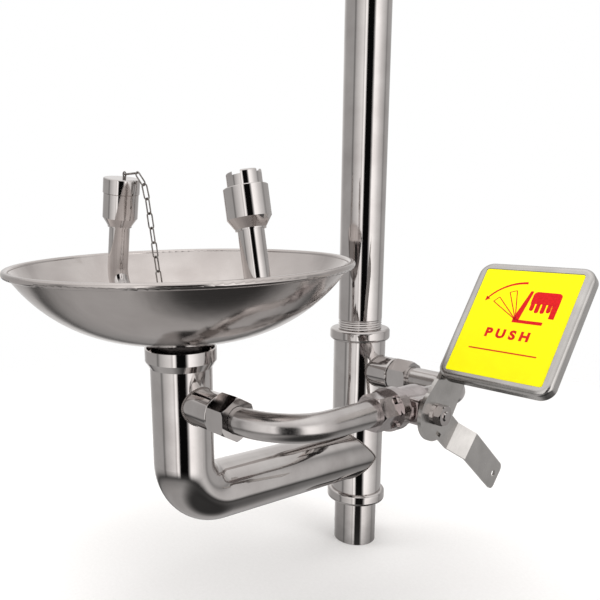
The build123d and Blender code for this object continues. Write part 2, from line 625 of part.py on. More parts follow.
insert_seat = CUP_HEIGHT - 9.0
insert_top = CUP_HEIGHT + INSERT_RISE
insert = drill(cup_bore - FIT, insert_seat, CUP_HEIGHT - 0.4) + drill(INSERT_R, CUP_HEIGHT - 1, insert_top)
insert = fillet(insert.edges().sort_by(Axis.Z)[-1], 1.2)
insert -= drill(INSERT_R - 1.8, insert_top - 4.0, insert_top + 1)
insert -= drill(INSERT_R - 2.2, insert_seat - 1, insert_top - 6.0)
jet_holes = [(0, 0)]
for count, ring_r in ((6, 3.4), (12, 6.8)):
    for index in range(count):
        angle = 2 * pi * index / count
        jet_holes.append((ring_r * cos(angle), ring_r * sin(angle)))
for jet_x, jet_y in jet_holes:
    insert -= drill(0.8, insert_seat - 1, insert_top + 1, jet_x, jet_y)
notch_width = 7.0
for index in range(4):
    insert -= Rot(0, 0, 90 * index + 20) * Pos(INSERT_R, 0, insert_top) * Box(8.0, notch_width, 5.0)

filter_disc = drill(cup_bore - FIT, insert_seat - 3.0, insert_seat)

for name, side in (("left", -1), ("right", 1)):
    axis = Vector(-side * sin(head_lean), 0, cos(head_lean))
    base = Vector(side * head_x(CUP_BASE_Z), BOWL_Y, CUP_BASE_Z)
    place = Plane(origin=base, x_dir=(cos(head_lean), 0, side * sin(head_lean)), z_dir=axis).location
    corner = Vector(side * head_x(HUB_PORT_Z), BOWL_Y, HUB_PORT_Z)
    start = Vector(side * (HUB_BOSS - PORT_DEPTH), BOWL_Y, HUB_PORT_Z)
    tube_end = base + axis * NECK_DEPTH
    nozzle_points = [start, corner, tube_end]
    parts[name + "_nozzle_tube"] = bent_tube(nozzle_points, NOZZLE_R, NOZZLE_R - NOZZLE_WALL, NOZZLE_BEND_R)
    parts[name + "_spray_cup"] = place * spray_cup
    parts[name + "_spray_insert"] = place * insert
    parts[name + "_filter_disc"] = place * filter_disc
    if name == "left":
        cap_place = place
        cap_axis = axis
        cap_foot = base + axis * CUP_HEIGHT

# ---- left dust cap with its chain eye ----
cap = fillet(drill(CAP_R, 0, CAP_HEIGHT).edges().sort_by(Axis.Z)[-1], 1.2)
cap -= drill(INSERT_R + CLEAR, -1, INSERT_RISE + CLEAR)
parts["left_dust_cap"] = Plane(origin=cap_foot, x_dir=(0, 1, 0), z_dir=cap_axis).location * cap


def chain_eye(post):
    """A wire eye on a short post, and the height of the eye's centre."""
    centre = post + EYE_R - WIRE_R / 2
    return drill(1.5, 0, post) + Pos(0, 0, centre) * Rot(0, 90, 0) * Torus(EYE_R, WIRE_R), centre


cap_eye, eye_height = chain_eye(1.6)
cap_top = cap_foot + cap_axis * CAP_HEIGHT
chain_out = Vector(0.9, 0.43, 0).normalized()
eye_foot = cap_top + (chain_out - cap_axis * chain_out.dot(cap_axis)) * EYE_OFFSET
parts["cap_chain_eye"] = Plane(origin=eye_foot, x_dir=(0, 1, 0), z_dir=cap_axis).location * cap_eye
anchor_eye, anchor_height = chain_eye(2.0)
anchor_foot = Vector(-19.0, BOWL_Y + 17.0, strainer_top)
parts["chain_anchor"] = Plane(origin=anchor_foot, x_dir=(0, 1, 0)).location * anchor_eye

# ---- chain: from the cap's eye over its edge, down and along the bowl's floor ----
chain_top = eye_foot + cap_axis * eye_height
chain_foot = anchor_foot + Vector(0, 0, anchor_height)
route = [
    chain_top,
    chain_top + chain_out * 13.5 + Vector(0, 0, 0.6),
    chain_top + chain_out * 20.0 + Vector(0, 0, -11.0),
    chain_foot + Vector(-25.0, -1.0, 5.0),
    chain_foot,
]
route_line = Polyline(*route)
link_count = round(route_line.length / LINK_PITCH)
joints = [route_line @ (index / link_count) for index in range(link_count + 1)]
bend_at = LINK_WIDTH / 2 - WIRE_R


def chain_link(inner):
    """A welded link along X, as long inside as its chain's pitch."""
    straight = inner + 2 * WIRE_R - 2 * bend_at
    half = Torus(bend_at, WIRE_R) & (Pos(bend_at, 0, 0) * Box(2 * bend_at, 4 * bend_at, 4 * WIRE_R))
    link = Pos(straight / 2, 0, 0) * half + Pos(-straight / 2, 0, 0) * Rot(0, 0, 180) * half
    for rail in (-bend_at, bend_at):
        link += Pos(0, rail, 0) * Rot(0, 90, 0) * Cylinder(WIRE_R, straight)
    return link


links = []
for index, (low_joint, high_joint) in enumerate(zip(joints, joints[1:])):
    along = high_joint - low_joint
    across = along.cross(Vector(0, 1, 0))
    if index % 2:
        across = across.cross(along)
    link_plane = Plane(origin=(low_joint + high_joint) / 2, x_dir=along, z_dir=across)
    links.append(link_plane.location * chain_link(along.length + FIT))
parts["dust_cap_chain"] = Compound(children=links)

for name, solid in parts.items():
    export_step(solid, f"parts/{name}.step")
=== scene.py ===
from math import atan2, ceil, cos, pi, radians, sin, sqrt, tau
import bpy
from mathutils import Matrix, Vector


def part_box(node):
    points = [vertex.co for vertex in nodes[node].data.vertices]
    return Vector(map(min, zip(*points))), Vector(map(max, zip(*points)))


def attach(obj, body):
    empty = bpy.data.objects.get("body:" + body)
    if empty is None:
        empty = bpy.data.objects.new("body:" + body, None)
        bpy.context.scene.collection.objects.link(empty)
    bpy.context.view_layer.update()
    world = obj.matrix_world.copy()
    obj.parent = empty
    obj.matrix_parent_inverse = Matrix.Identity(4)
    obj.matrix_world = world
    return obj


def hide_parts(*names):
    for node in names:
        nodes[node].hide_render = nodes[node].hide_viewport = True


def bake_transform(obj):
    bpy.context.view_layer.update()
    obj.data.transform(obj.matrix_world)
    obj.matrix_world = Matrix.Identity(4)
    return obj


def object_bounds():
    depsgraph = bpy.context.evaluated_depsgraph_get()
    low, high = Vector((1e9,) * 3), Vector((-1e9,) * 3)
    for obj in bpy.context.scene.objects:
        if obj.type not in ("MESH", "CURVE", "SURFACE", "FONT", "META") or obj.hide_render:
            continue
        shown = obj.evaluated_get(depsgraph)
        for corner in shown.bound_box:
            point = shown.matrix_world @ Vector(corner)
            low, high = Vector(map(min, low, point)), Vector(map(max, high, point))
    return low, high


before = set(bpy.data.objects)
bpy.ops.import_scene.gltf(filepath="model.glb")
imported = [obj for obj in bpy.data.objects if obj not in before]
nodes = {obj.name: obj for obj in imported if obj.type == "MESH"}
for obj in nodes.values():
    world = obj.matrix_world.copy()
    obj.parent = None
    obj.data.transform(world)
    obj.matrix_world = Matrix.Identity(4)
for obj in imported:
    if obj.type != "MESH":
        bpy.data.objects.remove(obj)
cad_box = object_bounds()
MM = 0.001

# ---- column: two lengths of 1 1/4 inch pipe ----
# Welded tube of 304 stainless, ground and buffed to a mirror after welding, with a pipe thread rolled on
# the upper length where it screws into the sleeve. The lower length runs on down to the drain.


def srgb(code):
    """A hex colour as linear RGBA."""
    channels = [int(code[i:i + 2], 16) / 255 for i in (1, 3, 5)]
    linear = [c / 12.92 if c <= 0.04045 else ((c + 0.055) / 1.055) ** 2.4 for c in channels]
    return (*linear, 1.0)


def add(tree, kind, sockets=None, **settings):
    """Adds a node, sets its settings, and fills or links its sockets."""
    node = tree.nodes.new(kind)
    for name, value in settings.items():
        setattr(node, name, value)
    for name, value in (sockets or {}).items():
        if isinstance(value, bpy.types.NodeSocket):
            tree.links.new(value, node.inputs[name])
        else:
            node.inputs[name].default_value = value
    return node


def ramp(node, stops):
    """Sets a colour ramp's stops from (place, colour) pairs."""
    elements = node.color_ramp.elements
    while len(elements) < len(stops):
        elements.new(0.5)
    for element, (place, colour) in zip(elements, stops):
        element.position = place
        element.color = colour


def feed(tree, shader, colour, roughness, normal):
    """Links a shader's colour, roughness and relief."""
    tree.links.new(colour, shader.inputs["Base Color"])
    tree.links.new(roughness, shader.inputs["Roughness"])
    tree.links.new(normal, shader.inputs["Normal"])


def material(name):
    """An empty material with its shader, its node tree and the object's own coordinates."""
    made = bpy.data.materials.new(name)
    made.use_nodes = True
    tree = made.node_tree
    shader = tree.nodes["Principled BSDF"]
    return made, tree, shader, add(tree, "ShaderNodeTexCoord").outputs["Object"]


HAND_WAVE = 22 * MM


def metal(name, light, dark, rough, polish, waviness, grain, cloud=30 * MM):
    """Bare stainless steel.

    light and dark are the two tones of its faint clouding and cloud the size of the clouds, rough is
    the least and the most roughness, polish the spacing of the polishing lines along X, Y and Z,
    waviness the depth of the slow unevenness that hand polishing leaves, and grain the depth of the
    polishing lines.
    """
    made, tree, shader, place = material(name)
    clouds = add(tree, "ShaderNodeTexNoise",
                 {"Vector": place, "Scale": 1 / cloud, "Detail": 4, "Roughness": 0.55})
    tone = add(tree, "ShaderNodeValToRGB", {"Fac": clouds.outputs["Fac"]})
    ramp(tone, [(0.32, srgb(dark)), (0.68, srgb(light))])
    stretched = add(tree, "ShaderNodeMapping", {"Vector": place, "Scale": [1 / gap for gap in polish]},
                    vector_type="POINT")
    lines = add(tree, "ShaderNodeTexNoise",
                {"Vector": stretched.outputs["Vector"], "Scale": 1, "Detail": 5, "Roughness": 0.65})
    spread = add(tree, "ShaderNodeMapRange",
                 {"Value": lines.outputs["Fac"], "From Min": 0.25, "From Max": 0.75,
                  "To Min": rough[0], "To Max": rough[1]})
    slow = add(tree, "ShaderNodeTexNoise", {"Vector": place, "Scale": 1 / HAND_WAVE, "Detail": 1.5})
    wavy = add(tree, "ShaderNodeBump", {"Height": slow.outputs["Fac"], "Strength": 1, "Distance": waviness})
    fine = add(tree, "ShaderNodeBump",
               {"Height": lines.outputs["Fac"], "Normal": wavy.outputs["Normal"],
                "Strength": 1, "Distance": grain})
    feed(tree, shader, tone.outputs["Color"], spread.outputs["Result"], fine.outputs["Normal"])
    shader.inputs["Metallic"].default_value = 1
    return made


# mirror-buffed 304: clear reflections with hard edges, a little uneven where the buffing wheel has pressed
polished_steel = metal("mirror_buffed_304", "#D2CECC", "#C2BDBB", (0.03, 0.09),
                       (14 * MM, 14 * MM, 1.1 * MM), 0.10 * MM, 0.003 * MM)


def closed_faces(rows, columns, first=0):
    """Quads between rings of points, closed round each ring and from the last ring to the first."""
    faces = []
    for i in range(rows):
        for j in range(columns):
            here, after = first + i * columns, first + (i + 1) % rows * columns
            beside = (j + 1) % columns
            faces.append((here + j, here + beside, after + beside, after + j))
    return faces


SHARP_ANGLE = radians(40)


def skin(name, rings, finish):
    """A piece of the fixed stand whose surface runs through rings of points."""
    mesh = bpy.data.meshes.new(name)
    mesh.from_pydata([point for row in rings for point in row], [], closed_faces(len(rings), len(rings[0])))
    mesh.shade_smooth()
    mesh.set_sharp_from_angle(angle=SHARP_ANGLE)
    mesh.materials.append(finish)
    made = bpy.data.objects.new(name, mesh)
    bpy.context.scene.collection.objects.link(made)
    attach(made, "root")
    return made


pipe_low, pipe_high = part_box("upper_pipe")
PIPE_R = (pipe_high.x - pipe_low.x) / 2
PIPE_WALL = 2.6 * MM
PIPE_BORE = PIPE_R - PIPE_WALL
PIPE_SIDES = 128
EDGE_BREAK = 0.6 * MM
THREAD_PITCH = 2.31 * MM
THREAD_DEPTH = 0.9 * MM
THREAD_LENGTH = 9.5 * MM
THREAD_HIDDEN = 4 * MM
THREAD_STEP = 0.2 * MM
THREAD_ROUNDING = 1.3
sleeve_low, sleeve_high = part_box("column_sleeve")
thread_top = sleeve_high.z + THREAD_LENGTH


def thread_radius(z, angle):
    """The pipe's radius at a height and angle: a thread that runs out into the plain pipe."""
    turn = (z / THREAD_PITCH - angle / tau) % 1
    groove = THREAD_DEPTH * (1 - abs(2 * turn - 1) ** THREAD_ROUNDING)
    run_out = min(1, max(0, (thread_top - z) / THREAD_PITCH))
    return PIPE_R - groove * run_out


def ring(radius, z, sides=PIPE_SIDES):
    """Points of a level circle round the column."""
    return [(radius * cos(tau * k / sides), radius * sin(tau * k / sides), z) for k in range(sides)]


def threaded_ring(z):
    """Points round the thread at one height."""
    points = []
    for k in range(PIPE_SIDES):
        angle = tau * k / PIPE_SIDES
        radius = thread_radius(z, angle)
        points.append((radius * cos(angle), radius * sin(angle), z))
    return points


# the thread starts a little way down inside the sleeve and runs out above it
pipe_rows = [
    ring(PIPE_BORE, pipe_high.z),
    ring(PIPE_BORE, pipe_low.z),
    ring(PIPE_R - THREAD_DEPTH, pipe_low.z),
]
thread_rows = ceil((thread_top - sleeve_high.z + THREAD_HIDDEN) / THREAD_STEP)
for row in range(thread_rows + 1):
    pipe_rows.append(threaded_ring(sleeve_high.z - THREAD_HIDDEN + row * THREAD_STEP))
pipe_rows += [ring(PIPE_R, pipe_high.z - EDGE_BREAK), ring(PIPE_R - EDGE_BREAK, pipe_high.z)]
upper_pipe = skin("upper_pipe_threaded", pipe_rows, polished_steel)
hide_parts("upper_pipe")

# ---- sleeve, unions, tubes and nozzles ----
# Bulged tube and turned bar of 304 stainless, welded and buffed to the same mirror as the pipes.
# The unions screw onto their sockets. The two supply tubes are cold bent between them.


def coat(finish, *names):
    """Gives nodes of the part a new finish."""
    for name in names:
        nodes[name].data.materials.clear()
        nodes[name].data.materials.append(finish)


coat(polished_steel, "lower_pipe", "column_sleeve", "column_union_socket", "column_union_nut",
     "bowl_union_socket", "bowl_union_nut", "drain_arm", "drain_elbow", "bowl_column", "riser_pipe",
     "nozzle_hub", "left_nozzle_tube", "right_nozzle_tube", "left_spray_cup", "right_spray_cup",
     "left_spray_insert", "right_spray_insert", "left_dust_cap", "valve_ball")

# buffed 304: rubbed along the tube after it is bent, which gives a softer, blurred shine
buffed_tube = metal("buffed_tube_304", "#D2CECC", "#C2BDBB", (0.18, 0.26),
                    (14 * MM, 14 * MM, 1.1 * MM), 0.10 * MM, 0.003 * MM)
coat(buffed_tube, "supply_bend_tube", "supply_arc_tube")

# ---- welds ----
# The arm and the two union sockets are TIG welded to the tubes. The bead is brushed, not buffed, so it
# shows as a narrow rippled line that is duller than the tube.
weld_steel = metal("brushed_weld", "#A39C98", "#7D7673", (0.22, 0.42),
                   (1.5 * MM, 1.5 * MM, 1.5 * MM), 0.05 * MM, 0.05 * MM)


def loop_tube(points, radius_at, sides):
    """Rings of a tube that follows a closed loop of points."""
    count = len(points)
    rings = []
    side = None
    for k in range(count):
        ahead = (points[(k + 1) % count] - points[k - 1]).normalized()
        if side is None:
            side = ahead.orthogonal().normalized()
        side = (side - ahead * side.dot(ahead)).normalized()
        up = ahead.cross(side)
        radius = radius_at(k)
        rings.append([
            points[k] + (side * cos(tau * s / sides) + up * sin(tau * s / sides)) * radius
            for s in range(sides)
        ])
    return rings


BEAD_R = 1.0 * MM
BEAD_SIDES = 10
RIPPLE = 1.6 * MM
RIPPLE_SHARE = 0.14


def weld(name, points):
    """A rippled weld bead along a closed loop."""
    step = (points[1] - points[0]).length
    rows = loop_tube(
        points,
        lambda k: BEAD_R * (1 - RIPPLE_SHARE + RIPPLE_SHARE * cos(tau * k * step / RIPPLE)),
        BEAD_SIDES,
    )
    skin(name, rows, weld_steel)


arm_low, arm_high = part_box("drain_arm")
WASTE_R = (arm_high.x - arm_low.x) / 2
bowl_low, bowl_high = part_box("bowl")
bowl_y = (bowl_low.y + bowl_high.y) / 2
BOSS_R = 15.2 * MM
BOSS_BEAD_POINTS = 240


def boss_weld(name, node, wall_y):
    """A bead where a union socket leaves a vertical tube."""
    low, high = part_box(node)
    middle = (low.z + high.z) / 2
    points = []
    for k in range(BOSS_BEAD_POINTS):
        angle = tau * k / BOSS_BEAD_POINTS
        across = BOSS_R * cos(angle)
        out = sqrt(WASTE_R**2 - across**2)
        points.append(Vector((out, wall_y + across, middle + BOSS_R * sin(angle))))
    weld(name, points)


boss_weld("column_union_weld", "column_union_socket", 0)
boss_weld("bowl_union_weld", "bowl_union_socket", bowl_y)

# the arm falls from the bowl's axis to the column's, and its bead lies where it meets the sleeve
ARM_DROP = 17 * MM
ARM_SLOPE = Vector((0, -bowl_y, -ARM_DROP)).normalized()
ARM_MEETS = Vector((0, 0, 98 * MM))
ARM_BEAD_SUNK = 0.1 * MM
ARM_BEAD_POINTS = 320
arm_side = Vector((1, 0, 0))
arm_up = arm_side.cross(ARM_SLOPE)
arm_points = []
for k in range(ARM_BEAD_POINTS):
    angle = tau * k / ARM_BEAD_POINTS
    offset = (arm_side * cos(angle) + arm_up * sin(angle)) * (WASTE_R - ARM_BEAD_SUNK)
    depth = -sqrt(WASTE_R**2 - offset.x**2)
    reach = (depth - offset.y) / ARM_SLOPE.y
    arm_points.append(ARM_MEETS + offset + ARM_SLOPE * reach)
weld("drain_arm_weld", arm_points)

# ---- bowl and strainer ----
# The bowl is spun from 304 sheet and satin finished in the same lathe, so its fine lines run round it.
# It blurs what it reflects, and a rolled bead stiffens its edge.


# the real lathe lines are 0.1 mm apart and are drawn at 0.8 mm so that they show
LATHE_LINE = 0.8 * MM
LATHE_LINE_DEPTH = 0.0025 * MM
SPUN_CLOUD = 45 * MM
SPUN_WAVE_DEPTH = 0.35 * MM


def spun_metal(name, light, dark, rough, axis_y):
    """Stainless steel finished in a lathe, with fine lines round a vertical axis."""
    made, tree, shader, place = material(name)
    centred = add(tree, "ShaderNodeVectorMath", {0: place, 1: (0, axis_y, 0)}, operation="SUBTRACT")
    flat = add(tree, "ShaderNodeVectorMath", {0: centred.outputs[0], 1: (1, 1, 0)}, operation="MULTIPLY")
    radius = add(tree, "ShaderNodeVectorMath", {0: flat.outputs[0]}, operation="LENGTH")
    height = add(tree, "ShaderNodeSeparateXYZ", {0: centred.outputs[0]})
    profile = add(tree, "ShaderNodeCombineXYZ", {"X": radius.outputs["Value"], "Y": height.outputs["Z"]})
    lines = add(tree, "ShaderNodeTexNoise",
                {"Vector": profile.outputs[0], "Scale": 1 / LATHE_LINE, "Detail": 3})
    clouds = add(tree, "ShaderNodeTexNoise",
                 {"Vector": place, "Scale": 1 / SPUN_CLOUD, "Detail": 3, "Distortion": 0.4})
    tone = add(tree, "ShaderNodeValToRGB", {"Fac": clouds.outputs["Fac"]})
    ramp(tone, [(0.3, srgb(dark)), (0.7, srgb(light))])
    spread = add(tree, "ShaderNodeMapRange",
                 {"Value": lines.outputs["Fac"], "From Min": 0.3, "From Max": 0.7,
                  "To Min": rough[0], "To Max": rough[1]})
    slow = add(tree, "ShaderNodeBump",
               {"Height": clouds.outputs["Fac"], "Strength": 1, "Distance": SPUN_WAVE_DEPTH})
    fine = add(tree, "ShaderNodeBump",
               {"Height": lines.outputs["Fac"], "Normal": slow.outputs["Normal"],
                "Strength": 1, "Distance": LATHE_LINE_DEPTH})
    feed(tree, shader, tone.outputs["Color"], spread.outputs["Result"], fine.outputs["Normal"])
    shader.inputs["Metallic"].default_value = 1
    return made


# satin-spun 304: bright, but with its reflections drawn out and softened by the lathe lines
satin_spun = spun_metal("satin_spun_304", "#D3CDCA", "#C0B9B6", (0.10, 0.17), bowl_y)
coat(satin_spun, "bowl", "drain_strainer", "partition_plug", "left_filter_disc", "right_filter_disc")

# ---- waste fitting and seals ----
# A turned hexagon of 304 over an EPDM ring, both hidden in the bowl's shade. The hexagon's dark grey colour
# is painted shade, standing in for the bowl's shadow over it. The union washers are the same rubber, and the
# valve's seats and packing are PTFE.
# painted shade: the fitting's steel is given dark greys for the shadow the bowl casts on it
painted_shade_turned_steel = metal("turned_304_painted_shade", "#7C7573", "#5E5856", (0.16, 0.34),
                     (20 * MM, 20 * MM, 0.5 * MM), 0.02 * MM, 0.01 * MM)
coat(painted_shade_turned_steel, "drain_adapter")


def moulded(name, light, dark, rough, speckle, depth):
    """A moulded rubber or plastic, with its flow clouding and fine surface grain."""
    made, tree, shader, place = material(name)
    grain = add(tree, "ShaderNodeTexNoise", {"Vector": place, "Scale": 1 / speckle, "Detail": 4})
    tone = add(tree, "ShaderNodeValToRGB", {"Fac": grain.outputs["Fac"]})
    ramp(tone, [(0.3, srgb(dark)), (0.7, srgb(light))])
    spread = add(tree, "ShaderNodeMapRange",
                 {"Value": grain.outputs["Fac"], "To Min": rough[0], "To Max": rough[1]})
    relief = add(tree, "ShaderNodeBump", {"Height": grain.outputs["Fac"], "Strength": 1, "Distance": depth})
    feed(tree, shader, tone.outputs["Color"], spread.outputs["Result"], relief.outputs["Normal"])
    return made


# EPDM is a matt black, and PTFE a waxy, slightly shiny white
epdm = moulded("moulded_EPDM", "#262524", "#1A1918", (0.55, 0.75), 0.8 * MM, 0.02 * MM)
ptfe = moulded("turned_PTFE", "#ECEBE6", "#E2E0D9", (0.35, 0.5), 1.5 * MM, 0.01 * MM)
coat(epdm, "bowl_seal", "column_union_washer", "bowl_union_washer")
coat(ptfe, "valve_seat_rings", "valve_packing")

# ---- ball valve ----
# Body and end fitting are investment cast in 316 and shot blasted, then tumbled bright, which leaves a
# soft, slightly pitted shine. The screws, stem and nuts are turned bar.
cast_steel = metal("tumbled_cast_316", "#CEC7C6", "#B8B0AF", (0.10, 0.20),
                   (3 * MM, 3 * MM, 3 * MM), 0.12 * MM, 0.006 * MM, 12 * MM)
fastener_steel = metal("turned_fastener_304", "#D0CAC8", "#B9B3B1", (0.05, 0.14),
                       (6 * MM, 6 * MM, 0.7 * MM), 0.02 * MM, 0.003 * MM)
coat(cast_steel, "valve_body", "valve_end_fitting")
coat(fastener_steel, "valve_flange_screws", "valve_stem", "valve_gland_nut", "lever_washer", "lever_nut",
     "tray_rivets")

# ---- lever plate, strap and tray ----
# Cut and folded from 3 mm, 2 mm and 1.5 mm sheet of 304 with a satin grain, and handled a lot, so the
# grain is crossed by faint rub marks. The tray is pressed, with a soft edge all round.
satin_sheet = metal("satin_sheet_304", "#D2CFCC", "#BFBCB9", (0.17, 0.28),
                    (0.9 * MM, 9 * MM, 9 * MM), 0.16 * MM, 0.006 * MM, 25 * MM)
coat(satin_sheet, "lever_plate", "pedal_arm", "push_tray")

# ---- push label ----
# A die-cut label of yellow vinyl under a clear film, stuck in the tray's shallow recess. The red print is
# screen ink: an arrow, a hand that tips a plate over, the word for what to do, and a rule below it.
label_low, label_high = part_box("push_label")
tilt = atan2(label_high.y - label_low.y, label_high.z - label_low.z)
label_up = Vector((0, sin(tilt), cos(tilt)))
label_out = Vector((0, -cos(tilt), sin(tilt)))
label_right = Vector((1, 0, 0))
LABEL_THICK = 0.4 * MM
INK_THICK = 0.05 * MM
PRINT_LIFT = 2.5
PLASTIC_GLOSS = 0.2
FADE_SIZE = 20 * MM
FILM_RIPPLE = 6 * MM
FILM_RIPPLE_DEPTH = 0.02 * MM
INK_MOTTLE = 1.2 * MM
label_centre = (label_low + label_high) / 2 + label_out * (LABEL_THICK / 2)

# calendered vinyl under film: a clean strong yellow with a soft, slightly rippled shine
vinyl, tree, shader, place = material("gloss_yellow_vinyl")
fade = add(tree, "ShaderNodeTexNoise", {"Vector": place, "Scale": 1 / FADE_SIZE, "Detail": 5})
yellow = add(tree, "ShaderNodeValToRGB", {"Fac": fade.outputs["Fac"]})
ramp(yellow, [(0.3, srgb("#FFF200")), (0.7, srgb("#FFFA00"))])
film = add(tree, "ShaderNodeTexNoise", {"Vector": place, "Scale": 1 / FILM_RIPPLE, "Detail": 2})
ripple = add(tree, "ShaderNodeBump",
             {"Height": film.outputs["Fac"], "Strength": 1, "Distance": FILM_RIPPLE_DEPTH})
spread = add(tree, "ShaderNodeMapRange", {"Value": fade.outputs["Fac"], "To Min": 0.32, "To Max": 0.45})
feed(tree, shader, yellow.outputs["Color"], spread.outputs["Result"], ripple.outputs["Normal"])
shader.inputs["Specular IOR Level"].default_value = PLASTIC_GLOSS
coat(vinyl, "push_label")
nodes["push_label"].visible_glossy = False

# screen ink: an even, half-matt red, a little mottled by the mesh of the screen
ink, tree, shader, place = material("red_screen_ink")
mottle = add(tree, "ShaderNodeTexNoise", {"Vector": place, "Scale": 1 / INK_MOTTLE, "Detail": 3})
red = add(tree, "ShaderNodeValToRGB", {"Fac": mottle.outputs["Fac"]})
ramp(red, [(0.3, srgb("#C80E12")), (0.7, srgb("#E3171B"))])
spread = add(tree, "ShaderNodeMapRange", {"Value": mottle.outputs["Fac"], "To Min": 0.35, "To Max": 0.5})
tree.links.new(red.outputs["Color"], shader.inputs["Base Color"])
tree.links.new(spread.outputs["Result"], shader.inputs["Roughness"])
shader.inputs["Specular IOR Level"].default_value = PLASTIC_GLOSS

label_frame = Matrix.Translation(label_centre) @ Matrix((
    (label_right.x, label_up.x, label_out.x, 0),
    (label_right.y, label_up.y, label_out.y, 0),
    (label_right.z, label_up.z, label_out.z, 0),
    (0, 0, 0, 1),
))


def printed(name, outlines):
    """Ink on the label: flat shapes, in mm from the label's centre, with a thin edge."""
    mesh = bpy.data.meshes.new(name)
    points, faces = [], []
    for outline in outlines:
        first, count = len(points), len(outline)
        points += [label_frame @ Vector((x * MM, (y + PRINT_LIFT) * MM, 0)) for x, y in outline]
        points += [label_frame @ Vector((x * MM, (y + PRINT_LIFT) * MM, INK_THICK)) for x, y in outline]
        faces.append([first + count + k for k in range(count)])
        for k in range(count):
            after = (k + 1) % count
            faces.append([first + k, first + after, first + count + after, first + count + k])
    mesh.from_pydata(points, [], faces)
    mesh.materials.append(ink)
    made = bpy.data.objects.new(name, mesh)
    bpy.context.scene.collection.objects.link(made)
    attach(made, "push_lever")
    made.visible_glossy = False


def bar(start, end, width, end_width=None):
    """A straight stroke, which may taper."""
    along = (Vector(end) - Vector(start)).normalized()
    side = Vector((-along.y, along.x))
    a, b = side * (width / 2), side * ((end_width or width) / 2)
    start, end = Vector(start), Vector(end)
    return [tuple(start - a), tuple(end - b), tuple(end + b), tuple(start + a)]


def polar(centre, radius, angle):
    """A point at a distance and an angle, in degrees, from a centre."""
    return (centre[0] + radius * cos(radians(angle)), centre[1] + radius * sin(radians(angle)))


def arc_stroke(centre, radius, start, end, width, end_width, steps=28):
    """A curved stroke that changes width from one end to the other."""
    outer, inner = [], []
    for k in range(steps + 1):
        share = k / steps
        half = (width + (end_width - width) * share) / 2
        angle = start + (end - start) * share
        outer.append(polar(centre, radius + half, angle))
        inner.append(polar(centre, radius - half, angle))
    return inner + outer[::-1]


# a plate that tips over its pivot, with two outlines of where it goes and an arrow over them, in mm
PIVOT = (0.5, 1.0)
PLATE_LENGTH = 25.0
PLATE_SPREAD = 12
HAIRLINE = 0.7
ARROW_R = 31.0
ARROW_HALF_WIDTH = 2.0
strokes = [
    arc_stroke(PIVOT, ARROW_R, 92, 150, 1.9, 1.2),
    [polar(PIVOT, ARROW_R, 155), polar(PIVOT, ARROW_R + ARROW_HALF_WIDTH, 148),
     polar(PIVOT, ARROW_R - ARROW_HALF_WIDTH, 148)],
]
for angle in (118, 148):
    far = polar(PIVOT, PLATE_LENGTH, angle)
    near = polar(PIVOT, PLATE_LENGTH, angle - PLATE_SPREAD)
    strokes += [bar(PIVOT, far, HAIRLINE), bar(far, near, HAIRLINE), bar(near, PIVOT, HAIRLINE)]
strokes.append(bar(PIVOT, polar(PIVOT, PLATE_LENGTH, 80), 4.6, 2.2))
strokes.append(bar((-1.5, 0.0), (20.0, 0.0), 2.6))
# the hand: a rounded palm seen from the back, four fingers curled over the plate, and a thumb
PALM_LOW = 15.5
PALM_HIGH = 25.5
PALM_LEFT = 6.5
PALM_RIGHT = 26.5
KNUCKLE_R = 3
FINGER_R = 1.5
FINGER_SPACING = 4.0
FINGER_LENGTHS = (4.5, 6.0, 6.0, 5.0)
THUMB_X = PALM_RIGHT - 2.2
JOIN = 0.2
palm = []
for knuckle_x, first_angle in ((PALM_RIGHT - KNUCKLE_R, 0), (PALM_LEFT + KNUCKLE_R, 90)):
    knuckle = (knuckle_x, PALM_HIGH - KNUCKLE_R)
    palm += [polar(knuckle, KNUCKLE_R, first_angle + 90 * k / 6) for k in range(7)]
strokes.append(palm + [(PALM_LEFT, PALM_LOW), (PALM_RIGHT, PALM_LOW)])
for k, length in enumerate(FINGER_LENGTHS):
    finger_x = PALM_LEFT + 2.0 + FINGER_SPACING * k
    finger_end = (finger_x, PALM_LOW - length)
    finger = [(finger_x - FINGER_R, PALM_LOW + JOIN)]
    finger += [polar(finger_end, FINGER_R, 180 + 30 * j) for j in range(7)]
    strokes.append(finger + [(finger_x + FINGER_R, PALM_LOW + JOIN)])
strokes.append(bar((THUMB_X, PALM_LOW + JOIN), (THUMB_X, 4.5), 4.4, 3.8))
printed("label_pictogram", strokes)

# the word is set in wide, bold capitals
WORD_HEIGHT = 9.8 * MM
WORD_BOLDNESS = 0.5 * MM
WORD_SPACING = 1.62
WORD_AT = Vector((-1.0, -12.5, 0)) * MM
word = bpy.data.curves.new("label_word", "FONT")
word.body = "PUSH"
word.size = WORD_HEIGHT
word.offset = WORD_BOLDNESS
word.space_character = WORD_SPACING
word.extrude = INK_THICK
word.align_x = "CENTER"
word_object = bpy.data.objects.new("label_word_outline", word)
bpy.context.scene.collection.objects.link(word_object)
bpy.context.view_layer.update()
word_mesh = bpy.data.meshes.new_from_object(word_object)
bpy.data.objects.remove(word_object)
word_mesh.transform(label_frame @ Matrix.Translation(WORD_AT))
word_mesh.materials.clear()
word_mesh.materials.append(ink)
label_word = bpy.data.objects.new("label_word", word_mesh)
bpy.context.scene.collection.objects.link(label_word)
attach(label_word, "push_lever")
label_word.visible_glossy = False
RULE_Y = -26
RULE_HALF = 25
printed("label_rule", [bar((-RULE_HALF, RULE_Y), (RULE_HALF, RULE_Y), 1.0)])

# ---- dust cap's chain ----
# Thirteen links of 1.3 mm stainless wire, bent and butt welded, from the eye on the cap over its edge
# and down to the eye on the strainer. The wire is drawn bright and gathers a little dark polish.
chain_steel = metal("bright_drawn_wire", "#A8A4A0", "#6E6A67", (0.14, 0.30),
                    (3 * MM, 3 * MM, 3 * MM), 0.02 * MM, 0.01 * MM, 4 * MM)
coat(chain_steel, "cap_chain_eye", "chain_anchor")

